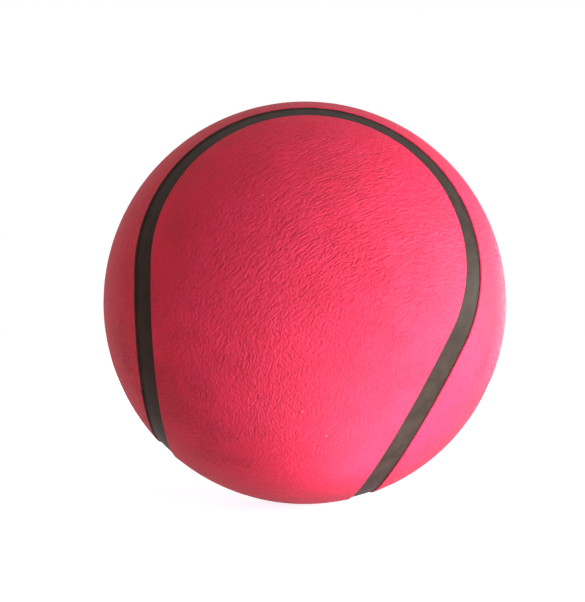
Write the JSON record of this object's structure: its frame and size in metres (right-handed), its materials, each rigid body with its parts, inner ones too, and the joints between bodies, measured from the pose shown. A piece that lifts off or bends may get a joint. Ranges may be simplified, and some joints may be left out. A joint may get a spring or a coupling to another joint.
{
  "type": "playground rubber ball",
  "caption": "Inflatable rubber playground ball with a two-panel moulded cover, a sunk closed seam line and a needle valve.",
  "frame": {"origin": "centre of the ball", "axes": "+Z out through the middle of the valve; the side with one whole lobe of the seam faces -Y"},
  "size_m": [0.216, 0.216, 0.2159],
  "materials": {
    "cover_rubber": "matte crimson-pink moulded rubber with a fine pressed-in thread texture",
    "strip_rubber": "matte black rubber",
    "carcass_rubber": "matte black rubber, hidden",
    "nylon_thread": "wound nylon thread, hidden",
    "bladder_rubber": "smooth butyl rubber, hidden",
    "valve_rubber": "soft black rubber"
  },
  "bodies": {
    "root": {"cover_panel_valve": "cover_rubber", "cover_panel_plain": "cover_rubber", "channel_strip": "strip_rubber", "carcass_layer": "carcass_rubber", "nylon_winding": "nylon_thread", "bladder": "bladder_rubber", "valve_housing": "valve_rubber", "valve_plug": "valve_rubber"}
  },
  "joints": []
}
